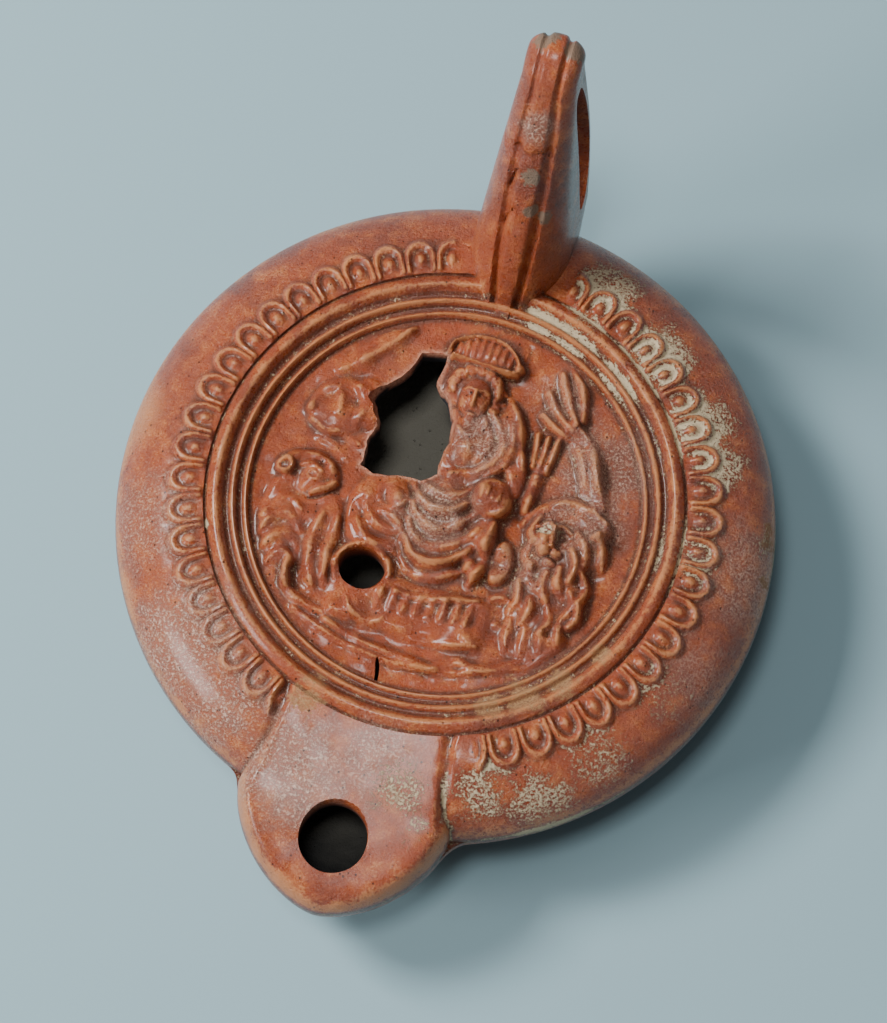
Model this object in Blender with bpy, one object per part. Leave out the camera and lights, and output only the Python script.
# Roman oil lamp: hollow body with a sunk picture field, short nozzle and pierced handle.
# Metres, +Z up. The origin is the middle of the flat underside, the nozzle points along -Y.
import math

import bmesh
import bpy
import numpy as np

# Body, turned about the Z axis
body_radius = 0.048          # at the seam between the two mould halves
seam_height = 0.0172
base_radius = 0.024
rim_height = 0.0271          # crest of the broad ring around the picture field
shoulder_height = 0.0264     # where the shoulder starts, outside that ring
belly_fullness = 2.1         # exponent of the belly's curve, 2 is an ellipse
shoulder_fullness = 1.9
base_trim = 0.0004           # cut off below, so that the lamp stands flat

# Walls
side_wall = 0.0036
floor_wall = 0.0042
roof_wall = 0.0028

# Picture field and the rings around it
field_radius = 0.0281
field_depth = 0.0028         # below the rim
field_hollow = 0.0004
ring_radii = (0.0287, 0.0305, 0.0329)
ring_half_widths = (0.0006, 0.0008, 0.0015)
ring_heights = (0.0007, 0.0010, 0.0012)
ring_step = 0.0006           # how far the ground climbs from ring to ring
shoulder_radius = 0.0346     # groove outside the broad ring

# Row of eggs and loops on the shoulder
egg_count = 50
egg_radius = 0.0368          # middle of the eggs
egg_half_length = 0.0015
egg_half_width = 0.0011
loop_half_length = 0.0027
loop_half_width = 0.0019
loop_ridge = 0.0007
ovolo_height = 0.0007
ovolo_handle_gap = math.radians(13)
ovolo_nozzle_gap = math.radians(22)
ovolo_fade = 0.02

# Nozzle
nozzle_shift = -0.0018       # it sits a little to one side
nozzle_neck = 0.0460         # distance from the axis where its round end starts
nozzle_length = 0.0150
nozzle_half_width = 0.0155
nozzle_point = 1.65          # exponent of its round end, 2 is an ellipse
nozzle_blend = 0.0030
nozzle_top_start = 0.0262
nozzle_top_end = 0.0208
nozzle_edge = 0.0024
nozzle_root_half_width = 0.0135
nozzle_groove = 0.0007
nozzle_wall = 0.0034
wick_hole_radius = 0.0048
wick_hole_reach = 0.0508     # from the axis to the middle of the wick hole

# Holes in the picture field
filling_hole_place = (-0.0088, -0.0127)
filling_hole_radius = 0.0032
crack_place = (-0.0026, -0.0262)
crack_size = (0.0006, 0.0032)
crack_turn = math.radians(13)
break_tooth = 0.07           # height of the teeth along the break, by the length of each side

# Handle
handle_root_height = 0.0120
handle_top_height = 0.0645
handle_tip = 0.0045          # height of the rounding over the top
handle_front_foot = 0.0307
handle_toe = 0.0030          # how far the ribs run out onto the field
handle_front_lean = 0.0183   # how far the front edge leans back on its way up
handle_lean_curve = 1.15
handle_back = 0.0578
handle_back_height = 0.0500  # where the back is furthest out
handle_tuck = 0.0098         # how far the back draws in down to the seam
handle_back_curve = 2.2
handle_skew = 0.0018         # how far the top lies behind the middle
handle_base_half_width = 0.0072
handle_top_half_width = 0.0040
handle_nose = 0.0030         # rounding of the front at the top
handle_root_nose = 0.0080    # what it gains down to the root
handle_back_round = 0.0024
handle_most_drawn = 0.85     # share of the way to the spine that the rounding may take
handle_groove_gap = 0.0023
handle_groove_depth = 0.0013
handle_groove_fading = 0.6   # share of that depth lost on the way up
strap_thickness = 0.0030     # of the handle behind the slot
slot_half_width = 0.0025
slot_under_top = 0.0070
slot_over_shoulder = 0.0022

# How finely the skins are divided
columns = 360
field_rows = 32
ring_rows = 16
ovolo_radius = 0.0405        # outer edge of the row of eggs
ovolo_rows = 13
shoulder_rows = 9
belly_rows = 12
inner_columns = 40
inner_rows = 4
handle_levels = 13
top_columns = 7
slot_sides = 24
skin_triangles = 7600

unit = field_radius / 28.1   # the picture is laid out in these, about a millimetre each


def smooth_step(value, low, high):
    t = np.clip((value - low) / (high - low), 0.0, 1.0)
    return t * t * (3.0 - 2.0 * t)


def bump(distance, half_width):
    """Rounded ridge profile: 1 on the line, 0 at half_width."""
    q = np.clip(np.abs(distance) / half_width, 0.0, 1.0)
    return (1.0 - q * q) ** 2


def polar(centre, distance, degrees):
    a = math.radians(degrees)
    return (centre[0] + distance * math.cos(a), centre[1] + distance * math.sin(a))


def arc(centre, radius, start, end, count=6):
    return [polar(centre, radius, start + (end - start) * k / (count - 1)) for k in range(count)]


def through(points, steps=4):
    """Catmull-Rom curve through a few chosen points."""
    p = np.array([points[0], *points, points[-1]], float)
    out = []
    for a, b, c, d in zip(p, p[1:], p[2:], p[3:]):
        for t in np.arange(steps) / steps:
            out.append(0.5 * (2 * b + (c - a) * t + (2 * a - 5 * b + 4 * c - d) * t ** 2
                              + (3 * b - a - 3 * c + d) * t ** 3))
    return np.array(out + [p[-1]])


class Relief:
    """Height of the picture over the points x, y, built up mark by mark."""

    def __init__(self, x, y):
        self.x = x
        self.y = y
        self.z = np.zeros_like(x)

    def lay(self, height, over):
        """A mass laid over the rest only fills up to its own height. Other marks add to what is there."""
        self.z = np.maximum(self.z, height) if over else self.z + height

    def mound(self, place, size, height, turn=0.0, over=False):
        c, s = math.cos(math.radians(turn)), math.sin(math.radians(turn))
        u, v = self.x - place[0], self.y - place[1]
        q = np.clip(1.0 - ((u * c + v * s) / size[0]) ** 2 - ((v * c - u * s) / size[1]) ** 2, 0.0, 1.0)
        self.lay(height * np.sqrt(q) * smooth_step(q, 0.0, 0.4), over)

    def stroke(self, points, half_width, height, over=False):
        """Rounded ridge along a curve, thinner at its ends."""
        curve = through(points) if len(points) > 2 else np.array(points, float)
        best = np.zeros_like(self.x)
        last = len(curve) - 1
        for i in range(last):
            (ax, ay), (bx, by) = curve[i], curve[i + 1]
            dx, dy = bx - ax, by - ay
            t = np.clip(((self.x - ax) * dx + (self.y - ay) * dy) / (dx * dx + dy * dy), 0.0, 1.0)
            width = half_width * (0.55 + 0.45 * np.sin(math.pi * (i + t) / last))
            best = np.maximum(best, bump(np.hypot(self.x - ax - t * dx, self.y - ay - t * dy), width))
        self.lay(height * best, over)


def left_drapery(r):
    r.mound((-17.6, 11.6), (5.6, 5.4), 0.9, 20, over=True)
    r.stroke([(-12.6, 23.6), (-14.2, 20.8), (-16.4, 17.8), (-19.8, 16.0)], 1.7, 1.1)
    r.stroke([(-18.8, 15.2), (-17.4, 12.0), (-15.4, 9.4)], 1.2, 0.5)


def left_lion(r):
    r.mound((-19.2, -8.6), (6.4, 8.6), 1.1, 12, over=True)
    r.mound((-19.6, -1.4), (5.6, 3.9), 1.9, -14, over=True)
    r.mound((-17.9, -2.6), (2.8, 1.5), 0.7, 22)
    r.mound((-23.0, -1.1), (1.3, 1.5), 0.5)
    for k in range(3):                                    # rows of the mane
        top = -5.2 - 3.1 * k
        lock = [(-24.2 + 1.1 * k, top - 1.4), (-21.6 + 0.8 * k, top), (-18.6 + 0.4 * k, top - 1.6)]
        r.stroke(lock, 1.1, 0.6)
    r.stroke([(-16.0, -4.8), (-16.0, -10.0), (-14.2, -16.0)], 1.3, 0.7)
    r.stroke([(-18.8, -15.6), (-17.4, -18.6), (-12.4, -21.0)], 1.2, 0.9)


def throne(r):
    r.mound((-8.7, -3.6), (5.6, 7.4), 1.3, over=True)
    r.mound((-9.0, -12.6), (4.8, 4.6), 0.9, over=True)
    r.mound((-7.2, -0.9), (2.7, 2.5), 1.1)
    for k in range(3):                                    # folds over the drawn-up leg
        r.stroke([(-10.8, -3.6 - 2.3 * k), (-7.6, -5.2 - 2.0 * k), (-4.6, -5.6 - 2.2 * k)], 0.9, 0.6)


def goddess(r):
    r.mound((2.0, 9.0), (6.4, 9.0), 1.8, over=True)
    r.mound((0.3, -3.4), (6.0, 9.4), 1.8, over=True)
    r.mound((6.2, -5.4), (2.9, 6.0), 2.3, 8, over=True)
    r.mound((7.4, 9.6), (2.6, 6.0), 1.8, 12, over=True)
    r.stroke([(4.0, 17.6), (7.0, 14.0), (9.2, 7.4)], 1.0, 0.6)
    for k in range(3):                                    # the mantle's folds around the chest
        r.stroke(arc((1.0, 12.4), 2.6 + 2.3 * k, -120, 18), 0.9, 0.7)
    for k in range(5):                                    # folds that hang between the knees
        low = 1.2 - 2.5 * k
        r.stroke([(-4.4, low + 2.8), (-0.8, low + 0.1), (4.2, low + 1.2)], 1.1, 0.8)


def head(r):
    r.mound((-0.2, 17.8), (4.4, 5.0), 1.9, over=True)
    r.mound((-0.1, 16.2), (2.8, 3.8), 3.1, over=True)
    r.stroke([(-0.1, 17.6), (-0.1, 15.2)], 0.7, 0.5)
    for side in (-1, 1):
        r.mound((-0.1 + 1.15 * side, 16.8), (0.8, 0.5), -0.35)
        r.stroke([(0.4 * side, 20.6), (2.2 * side, 19.6), (3.0 * side, 17.4)], 0.8, 0.5)
    crown = (-0.3, 13.4)
    r.stroke(arc(crown, 8.0, 63, 117), 0.8, 2.5, over=True)
    r.stroke(arc(crown, 10.4, 60, 120), 2.3, 2.1, over=True)
    for k in range(8):                                    # slats of the crown
        r.stroke([polar(crown, 9.3, 65.5 + 7 * k), polar(crown, 11.6, 65.5 + 7 * k)], 0.55, 0.6)


def held_things(r):
    r.mound((6.3, 2.3), (3.5, 3.6), 3.0, over=True)
    for k in range(4):                                    # leaves of the palm branch
        leaf = [(9.9 + 0.8 * k, 18.0 + 2.4 * k), (11.3 + 0.6 * k, 15.8 + 2.2 * k)]
        leaf.append((14.0 + 0.3 * k, 14.4 + 1.8 * k))
        r.stroke(leaf, 0.95, 1.5, over=True)
    for k in range(3):                                    # flutes of the stem below it
        r.stroke([(10.2 + 1.4 * k, 13.6), (10.6 + 0.9 * k, 9.4)], 0.85, 1.4, over=True)
    r.stroke([(11.5, 9.4), (11.2, 2.4)], 1.7, 1.2, over=True)


def right_drapery(r):
    r.stroke([(14.9, 15.0), (17.8, 13.4), (20.2, 9.0), (22.0, 5.6)], 2.2, 1.4, over=True)


def right_lion(r):
    face = (16.2, -1.8)
    r.mound((18.6, -2.6), (6.0, 9.0), 1.2, over=True)
    r.mound((16.4, -15.6), (5.0, 6.4), 0.8, over=True)
    r.mound((10.1, -5.8), (2.2, 4.0), 1.6, over=True)
    r.mound(face, (3.0, 4.2), 2.5, over=True)
    r.stroke([(16.1, -0.2), (16.2, -3.8)], 0.9, 0.6)
    for side in (-1, 1):
        r.mound((face[0] + 1.1 * side, -0.6), (0.8, 0.6), -0.5)
    for k in range(7):                                    # locks of the mane around the face
        lean = 35 - 27 * k
        r.stroke([polar(face, 3.4, lean), polar(face, 7.4, lean - 14)], 1.1, 0.8)
    r.stroke([(15.6, 4.4), (20.0, 5.4), (23.4, 3.9)], 1.0, 1.0)
    for k in range(4):                                    # fore legs
        r.stroke([(13.2 + 2.1 * k, -13.2), (14.0 + 1.9 * k, -18.8 + 0.5 * k)], 1.0, 0.7)


def footstool(r):
    wide = smooth_step(r.x, -13.0, -12.0) * smooth_step(-r.x, -10.8, -9.8)
    deep = smooth_step(r.y, -20.8, -19.8) * smooth_step(-r.y, 12.0, 13.4)
    r.lay(0.9 * wide * deep, over=True)
    r.stroke([(-3.6, -13.4), (0.8, -14.2), (7.9, -12.6)], 0.9, 0.8)
    for k in range(7):                                    # pleats of the hem
        r.stroke([(-4.6 + 2.0 * k, -14.6), (-4.8 + 2.0 * k, -17.0)], 0.9, 0.5)
    r.stroke(arc((0.0, 12.0), 36.7, -117, -58, 9), 0.9, 0.8)
    r.stroke([(-12.0, -21.2), (-4.0, -23.0), (5.4, -23.6), (8.6, -22.2), (21.6, -16.4)], 1.0, 0.6)


def picture(x, y):
    """Height of the relief above the field: an enthroned goddess between two lions."""
    relief = Relief(x, y)
    for draw in (left_drapery, left_lion, throne, footstool, right_drapery, right_lion, goddess,
                 held_things, head):
        draw(relief)
    return relief.z * smooth_step(-np.hypot(x, y), -27.6, -26.2)


# Outer skin

def nozzle_inset(x, y, margin=0.0):
    """How far a point lies inside the nozzle's outline, seen from above."""
    length = nozzle_length - margin
    back = np.clip((-y - shoulder_radius) / (nozzle_neck - shoulder_radius), 0.0, 1.0)
    width = nozzle_root_half_width + (nozzle_half_width - nozzle_root_half_width) * back - margin
    side = np.abs(x - nozzle_shift)
    past = np.maximum(-y - nozzle_neck, 0.0)
    q = ((side / width) ** nozzle_point + (past / length) ** nozzle_point) ** (1.0 / nozzle_point)
    return (1.0 - q) * width


def outline_inset(x, y, margin=0.0):
    """The same for the whole lamp, with a soft inner corner between body and nozzle."""
    body = body_radius - margin - np.hypot(x, y)
    nozzle = np.where(y < 0.0, nozzle_inset(x, y, margin), -body_radius)
    overlap = np.clip(1.0 - np.abs(body - nozzle) / nozzle_blend, 0.0, 1.0)
    return np.maximum(body, nozzle) + 0.25 * nozzle_blend * overlap ** 2


def outline_radius(angles, margin=0.0):
    """Distance from the axis to the seam in each direction, found by halving."""
    low = np.full(len(angles), 0.6 * body_radius)
    high = np.full(len(angles), nozzle_neck + nozzle_length + body_radius)
    for _ in range(40):
        mid = 0.5 * (low + high)
        inside = outline_inset(mid * np.cos(angles), mid * np.sin(angles), margin) > 0
        low, high = np.where(inside, mid, low), np.where(inside, high, mid)
    return 0.5 * (low + high)


def rounded_edge(inset, width):
    q = np.clip(inset / width, 0.0, 1.0)
    return np.sqrt(1.0 - (1.0 - q) ** 2)


def shoulder_curve(r, outer, top=shoulder_height):
    q = np.clip((r - shoulder_radius) / (outer - shoulder_radius), 0.0, 1.0)
    return seam_height + (top - seam_height) * (1.0 - q ** shoulder_fullness) ** (1.0 / shoulder_fullness)


def nozzle_plane(y):
    start, end = shoulder_radius, nozzle_neck + nozzle_length
    return nozzle_top_start + (nozzle_top_end - nozzle_top_start) * (-y - start) / (end - start)


def shoulder_and_nozzle(x, y, raised):
    """Rounded shoulder with the nozzle's flat panel let into it."""
    r = np.hypot(x, y)
    shoulder = shoulder_curve(r, body_radius) + raised
    inset = np.where(y < -0.5 * shoulder_radius, nozzle_inset(x, y), -body_radius)
    past = smooth_step(-y, nozzle_neck - nozzle_edge, nozzle_neck + nozzle_edge)
    rim = inset + (outline_inset(x, y) - inset) * past
    panel = seam_height + (nozzle_plane(y) - seam_height) * rounded_edge(rim, nozzle_edge)
    flat = smooth_step(inset, 0.7 * nozzle_edge, 1.1 * nozzle_edge)
    joined = panel + (np.maximum(shoulder, panel) - panel) * (1.0 - flat)
    groove = nozzle_groove * bump(inset - 0.6 * nozzle_edge, 0.5 * nozzle_edge) * (1.0 - past)
    return np.where(inset > 0.0, joined, shoulder) - groove


def field_ground(r):
    ground = rim_height - field_depth - field_hollow * np.clip(1.0 - (r / field_radius) ** 2, 0.0, 1.0)
    for index, radius in enumerate(ring_radii):
        ground = ground + ring_step * smooth_step(r, radius - ring_half_widths[index], radius)
    level = rim_height - field_depth + ring_step * len(ring_radii)
    return np.where(r > ring_radii[-1], level + (shoulder_height - level)
                    * smooth_step(r, ring_radii[-1], shoulder_radius), ground)


def rings(r):
    total = np.zeros_like(r)
    for radius, half_width, height in zip(ring_radii, ring_half_widths, ring_heights):
        total = np.maximum(total, height * bump(r - radius, half_width))
    return total - 0.0005 * bump(r - shoulder_radius, 0.0006)


def ovolo(r, angles):
    """Eggs, each in a loop whose round end points outwards."""
    pitch = 2 * math.pi / egg_count
    across = ((angles / pitch) % 1.0 - 0.5) * pitch * egg_radius
    egg = bump(np.hypot(across / egg_half_width, (r - egg_radius) / egg_half_length), 1.0)
    bow = np.hypot(across / loop_half_width, np.maximum(r - egg_radius, 0.0) / loop_half_length)
    legs = (bow - 1.0) * loop_half_width
    loop = bump(legs, loop_ridge) * smooth_step(r, shoulder_radius, shoulder_radius + loop_ridge)
    from_handle = np.abs(np.arctan2(np.sin(angles - math.pi / 2), np.cos(angles - math.pi / 2)))
    shown = smooth_step(from_handle, ovolo_handle_gap, ovolo_handle_gap + ovolo_fade)
    shown = shown * smooth_step(math.pi - from_handle, ovolo_nozzle_gap, ovolo_nozzle_gap + ovolo_fade)
    return ovolo_height * np.maximum(egg, loop) * shown


def upper_skin(x, y):
    """Height of the lamp's upper side at a point, with everything moulded on it."""
    r, angles = np.hypot(x, y), np.arctan2(y, x)
    field = field_ground(r) + rings(r) + unit * picture(x / unit, y / unit)
    outside = shoulder_and_nozzle(x, y, ovolo(r, angles))
    return np.where(r < shoulder_radius, field, np.maximum(outside, seam_height))


def belly_curve(r, outer, foot_radius, foot_height):
    q = np.clip((r - foot_radius) / (outer - foot_radius), 0.0, 1.0)
    climb = 1.0 - (1.0 - q ** belly_fullness) ** (1.0 / belly_fullness)
    return foot_height + (seam_height - foot_height) * climb


def skin_mesh(name, rows):
    """Skin over rows of points. It is closed if the first and last row are a point or fold flat."""
    bm = bmesh.new()
    made = [[bm.verts.new(point) for point in row] for row in rows]
    for above, below in zip(made, made[1:]):
        count = max(len(above), len(below))
        for k in range(count):
            ring = (above[k % len(above)], below[k % len(below)],
                    below[(k + 1) % len(below)], above[(k + 1) % len(above)])
            bm.faces.new([v for i, v in enumerate(ring) if v not in ring[:i]])
    mesh = bpy.data.meshes.new(name)
    bm.to_mesh(mesh)
    bm.free()
    mesh.shade_smooth()
    return mesh


def merged(mesh):
    bm = bmesh.new()
    bm.from_mesh(mesh)
    bmesh.ops.remove_doubles(bm, verts=bm.verts, dist=1e-6)
    bm.to_mesh(mesh)
    bm.free()
    return mesh


def add_object(name, mesh, material=None):
    obj = bpy.data.objects.new(name, mesh)
    bpy.context.collection.objects.link(obj)
    if material:
        mesh.materials.append(material)
    return obj


def turned_rows(radii, heights, angles):
    rows = []
    for r, z in zip(radii, heights):
        rows.append(np.column_stack((r * np.cos(angles), r * np.sin(angles), z)).tolist())
    return rows


def lamp_mesh():
    angles = np.linspace(0.0, 2 * math.pi, columns, endpoint=False)
    outer = outline_radius(angles)
    steps = list(np.linspace(0.0, field_radius, field_rows + 1)[1:])
    steps += list(np.linspace(field_radius, shoulder_radius, ring_rows + 1)[1:])
    steps += list(np.linspace(shoulder_radius, ovolo_radius, ovolo_rows + 1)[1:])
    radii = [np.full(columns, r) for r in steps]
    for k in range(1, shoulder_rows + 1):
        radii.append(ovolo_radius + (outer - ovolo_radius) * math.sin(0.5 * math.pi * k / shoulder_rows))
    heights = [upper_skin(r * np.cos(angles), r * np.sin(angles)) for r in radii]
    heights[-1] = np.full(columns, seam_height)
    for k in range(1, belly_rows + 1):
        radii.append(base_radius + (outer - base_radius) * math.cos(0.5 * math.pi * k / belly_rows))
        heights.append(belly_curve(radii[-1], outer, base_radius, -base_trim))
    middle = upper_skin(np.zeros(1), np.zeros(1))
    rows = [[(0.0, 0.0, float(middle[0]))]] + turned_rows(radii, heights, angles) + [[(0.0, 0.0, -base_trim)]]
    return skin_mesh("lamp", rows)


def cavity_mesh():
    """The hollow inside, which follows the outer skin at the wall's distance."""
    angles = np.linspace(0.0, 2 * math.pi, inner_columns, endpoint=False)
    outer = outline_radius(angles, side_wall)
    roof = rim_height - field_depth - field_hollow - roof_wall
    under_shoulder = shoulder_height - roof_wall
    radii = [np.full(inner_columns, r) for r in (0.5 * field_radius, field_radius, shoulder_radius)]
    heights = [np.full(inner_columns, z) for z in (roof, roof, under_shoulder)]
    for k in range(1, inner_rows + 1):
        r = shoulder_radius + (outer - shoulder_radius) * math.sin(0.5 * math.pi * k / inner_rows)
        x, y = r * np.cos(angles), r * np.sin(angles)
        inset = np.where(y < 0.0, nozzle_inset(x, y, side_wall), -body_radius)
        neck = seam_height + (nozzle_plane(y) - nozzle_wall - seam_height) * rounded_edge(inset, nozzle_edge)
        body = shoulder_curve(r, body_radius - side_wall, under_shoulder)
        radii.append(r)
        heights.append(np.where(inset > 0.0, np.maximum(neck, body), body))
    heights[-1] = np.full(inner_columns, seam_height)
    foot = base_radius - side_wall
    for k in range(1, inner_rows + 1):
        radii.append(foot + (outer - foot) * math.cos(0.5 * math.pi * k / inner_rows))
        heights.append(belly_curve(radii[-1], outer, foot, floor_wall))
    rows = [[(0.0, 0.0, roof)]] + turned_rows(radii, heights, angles) + [[(0.0, 0.0, floor_wall)]]
    return skin_mesh("hollow", rows)


# Handle

def climb(z):
    """0 at the shoulder, 1 where the rounding over the top starts."""
    dome = handle_top_height - handle_tip
    return np.clip((z - shoulder_height) / (dome - shoulder_height), 0.0, 1.0)


def handle_front_at(z):
    toe = handle_toe * np.clip((shoulder_height - z) / field_depth, 0.0, 1.0)
    return handle_front_foot - toe + handle_front_lean * climb(z) ** handle_lean_curve


def handle_back_at(z):
    drop = np.clip((handle_back_height - z) / (handle_back_height - seam_height), 0.0, None)
    return handle_back - handle_tuck * drop ** handle_back_curve


def handle_half_width(z):
    return handle_base_half_width + (handle_top_half_width - handle_base_half_width) * climb(z)


def handle_nose_at(z):
    return handle_nose + handle_root_nose * (1.0 - climb(z))


def handle_mesh():
    """Slices from right to left: the side outline, drawn towards a spine for round edges and the grooves."""
    dome = handle_top_height - handle_tip
    levels = np.linspace(handle_root_height, dome, handle_levels)
    over = np.linspace(0.0, math.pi, top_columns + 2)[1:-1]
    front, back = handle_front_at(dome), handle_back_at(dome)
    y_over = 0.5 * (front + back) + 0.5 * (back - front) * np.cos(over) + handle_skew * np.sin(over)
    y = np.concatenate((handle_back_at(levels), y_over, handle_front_at(levels[::-1])))
    z = np.concatenate((levels, dome + handle_tip * np.sin(over), levels[::-1]))

    in_front = np.concatenate((np.zeros(len(levels)), over / math.pi, np.ones(len(levels))))
    rounding = handle_back_round + (handle_nose_at(z) - handle_back_round) * in_front
    width = handle_half_width(z)
    gap = handle_groove_gap * (0.5 + 0.5 * np.sqrt(np.sin(math.pi * (0.06 + 0.88 * climb(z)))))
    cut = 0.4 * gap
    flat = 0.93 * width

    spine_z = np.clip(z, levels[1], levels[-2])
    spine_front = handle_front_at(spine_z) + handle_nose_at(spine_z)
    spine_y = 0.5 * (spine_front + handle_back_at(spine_z) - handle_back_round)
    to_y, to_z = spine_y - y, spine_z - z
    reach = np.hypot(to_y, to_z)
    half = []
    groove = handle_groove_depth * (1.0 - handle_groove_fading * climb(z))
    for x, depth in ((0.0 * gap, 0.0), (gap - cut, 0.0), (gap, groove), (gap + cut, 0.0),
                     (0.5 * (gap + cut + flat), 0.0), (flat, 0.0), (width, 0.0)):
        inset = depth + rounding * (1.0 - np.sqrt(1.0 - (x / width) ** 2))
        share = np.minimum(inset / reach, handle_most_drawn)
        half.append((x, y + share * to_y, z + share * to_z))
    half.append((handle_half_width(spine_z), spine_y, spine_z))
    slices = [np.column_stack(points) for points in reversed(half)]
    slices += [np.column_stack((-x, new_y, new_z)) for x, new_y, new_z in half[1:]]
    mesh = skin_mesh("handle", [points.tolist() for points in slices])
    return merged(mesh)


# Cutters

def prism_mesh(name, outline, low, high):
    """Upright prism over an outline that runs counterclockwise."""
    bm = bmesh.new()
    bottom = [bm.verts.new((x, y, low)) for x, y in outline]
    top = [bm.verts.new((x, y, high)) for x, y in outline]
    bm.faces.new(bottom[::-1])
    bm.faces.new(top)
    for k in range(len(outline)):
        n = (k + 1) % len(outline)
        bm.faces.new((bottom[k], bottom[n], top[n], top[k]))
    mesh = bpy.data.meshes.new(name)
    bm.to_mesh(mesh)
    bm.free()
    return mesh


def round_outline(place, radius, sides, squash=1.0):
    return [(place[0] + radius * math.cos(2 * math.pi * k / sides),
             place[1] + squash * radius * math.sin(2 * math.pi * k / sides)) for k in range(sides)]


def break_outline():
    """Ragged edge of the break: a few corners, with small teeth between them."""
    corners = [(-6.0, 21.6), (-6.4, 17.6), (-4.0, 15.2), (-2.2, 8.8), (-2.5, 4.2), (-4.4, 2.6), (-9.2, 1.9),
               (-13.5, 2.4), (-13.4, 6.2), (-12.2, 8.6), (-14.2, 12.4), (-12.4, 15.8), (-9.4, 21.0)]
    edge = []
    for k, (ax, ay) in enumerate(corners):
        bx, by = corners[(k + 1) % len(corners)]
        tooth = break_tooth if k % 2 else -break_tooth
        edge.append((ax, ay))
        edge.append((0.5 * (ax + bx) + tooth * (by - ay), 0.5 * (ay + by) - tooth * (bx - ax)))
    return [(unit * x, unit * y) for x, y in reversed(edge)]


def slot_outline():
    """Long hole through the handle, seen from the side, as (y, z) points."""
    low = shoulder_height + slot_over_shoulder
    high = handle_top_height - slot_under_top
    points = []
    for k in range(slot_sides):
        a = 2 * math.pi * (k + 0.5) / slot_sides
        z = 0.5 * (low + high) + 0.5 * (high - low) * math.sin(a)
        across = math.copysign(abs(math.cos(a)) ** 0.6, math.cos(a))
        points.append((float(handle_back_at(z)) - strap_thickness - slot_half_width * (1.0 - across), z))
    return points


def add_cutter(name, mesh):
    cutter = add_object(name, mesh)
    cutter.hide_render = True
    cutter.display_type = "WIRE"
    return cutter


def combine(obj, other, operation):
    step = obj.modifiers.new(other.name, "BOOLEAN")
    step.operation = operation
    step.object = other


def clay():
    material = bpy.data.materials.new("slip")
    material.use_nodes = True
    shader = material.node_tree.nodes["Principled BSDF"]
    shader.inputs["Base Color"].default_value = (0.40, 0.09, 0.03, 1.0)
    shader.inputs["Roughness"].default_value = 0.45
    shader.inputs["Metallic"].default_value = 0.0
    return material


def main():
    lamp = add_object("lamp", lamp_mesh(), clay())
    thin = lamp.modifiers.new("fewer faces on plain stretches", "DECIMATE")
    thin.ratio = skin_triangles / (2.0 * len(lamp.data.polygons))
    thin.use_collapse_triangulate = True
    combine(lamp, add_cutter("handle", handle_mesh()), "UNION")
    slot = add_cutter("finger_hole", prism_mesh("finger_hole", slot_outline(), -body_radius, body_radius))
    slot.rotation_euler = (math.pi / 2, 0.0, math.pi / 2)
    combine(lamp, slot, "DIFFERENCE")
    combine(lamp, add_cutter("hollow", cavity_mesh()), "DIFFERENCE")

    above, below = rim_height + unit * 6.0, seam_height
    wick_place = (nozzle_shift, -wick_hole_reach)
    far, side = 0.5 * crack_size[0], 0.5 * crack_size[1]
    crack = []
    for u, v in ((-far, -side), (far, -side), (far, side), (-far, side)):
        crack.append((crack_place[0] + u * math.cos(crack_turn) - v * math.sin(crack_turn),
                      crack_place[1] + u * math.sin(crack_turn) + v * math.cos(crack_turn)))
    for name, outline in (("wick_hole", round_outline(wick_place, wick_hole_radius, 28, 1.04)),
                          ("filling_hole", round_outline(filling_hole_place, filling_hole_radius, 22, 0.93)),
                          ("break", break_outline()), ("crack", crack)):
        combine(lamp, add_cutter(name, prism_mesh(name, outline, below, above)), "DIFFERENCE")

    wide = body_radius + nozzle_length + nozzle_neck
    ground = add_cutter("ground", prism_mesh("ground", round_outline((0.0, 0.0), wide, 8), -wide, 0.0))
    combine(lamp, ground, "DIFFERENCE")


for old in list(bpy.data.objects):
    bpy.data.objects.remove(old)
main()
